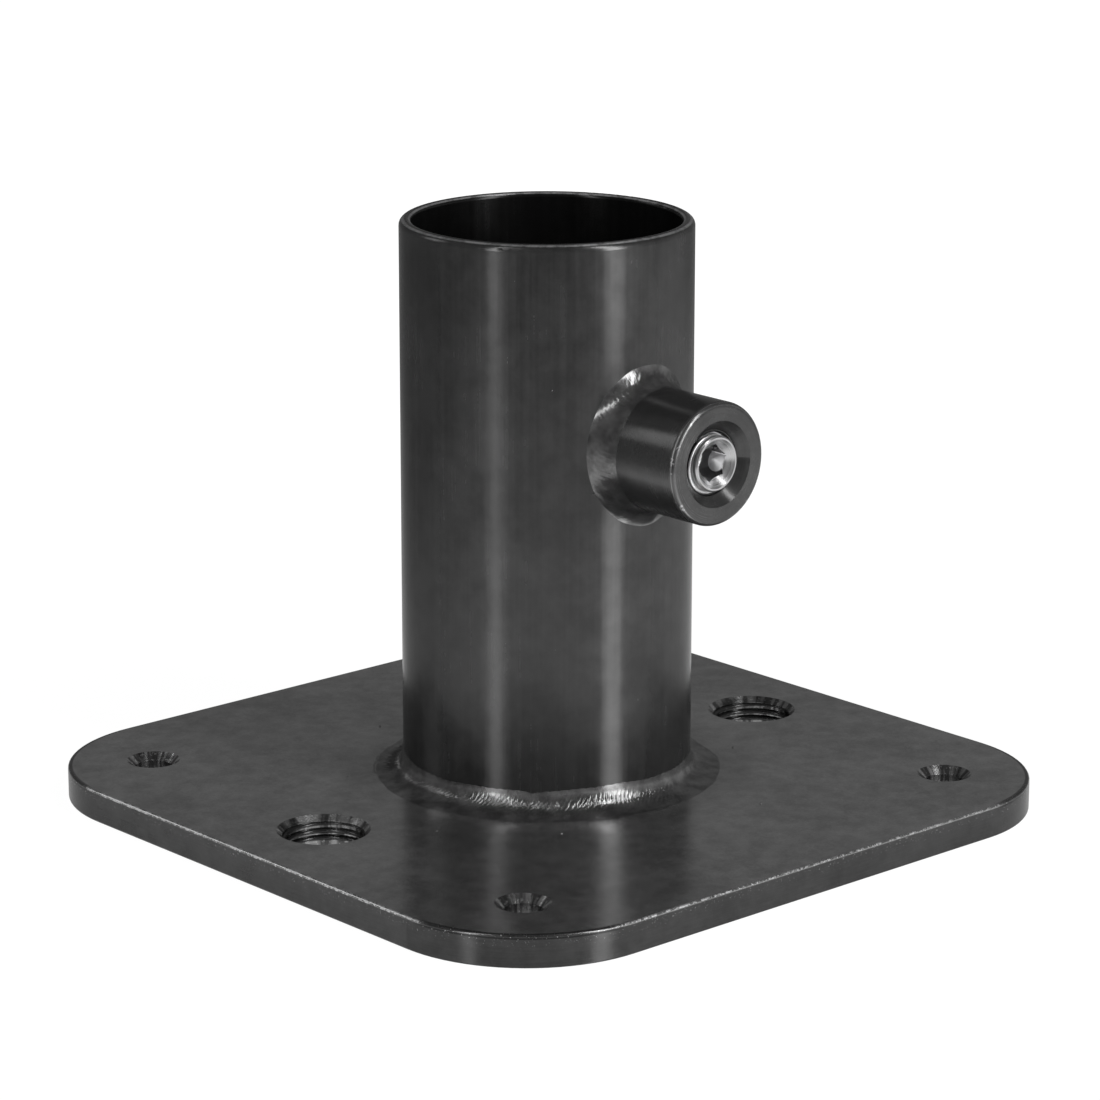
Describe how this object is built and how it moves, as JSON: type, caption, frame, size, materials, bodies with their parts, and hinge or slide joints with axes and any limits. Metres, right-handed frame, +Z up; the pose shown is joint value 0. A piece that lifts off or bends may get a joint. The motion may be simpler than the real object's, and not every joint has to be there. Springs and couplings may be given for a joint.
{
  "type": "tube clamp base flange",
  "caption": "Square steel base plate with an upright receiver tube and a side boss whose set screw clamps the tube dropped into it; drilled and tapped for fixing.",
  "frame": {"origin": "middle of the plate's underside", "axes": "+Z up along the receiver tube, -Y out along the clamp boss, X through the two tapped holes of the plate"},
  "size_m": [0.1524, 0.1524, 0.1174],
  "materials": {
    "dark_steel": "dark satin, worn bright on its edges",
    "weld_bead": "rippled, half gloss",
    "plated_steel": "bright plated"
  },
  "bodies": {
    "flange": {"base_plate": "dark_steel", "receiver_tube": "dark_steel", "clamp_boss": "dark_steel", "base_weld": "weld_bead", "boss_weld": "weld_bead"},
    "clamp_screw": {"set_screw": "plated_steel"}
  },
  "joints": [
    {"name": "screw_travel", "type": "slide", "parent": "flange", "child": "clamp_screw", "axis": [0, 1, 0], "range_m": [-0.00782, 0.00977]}
  ]
}
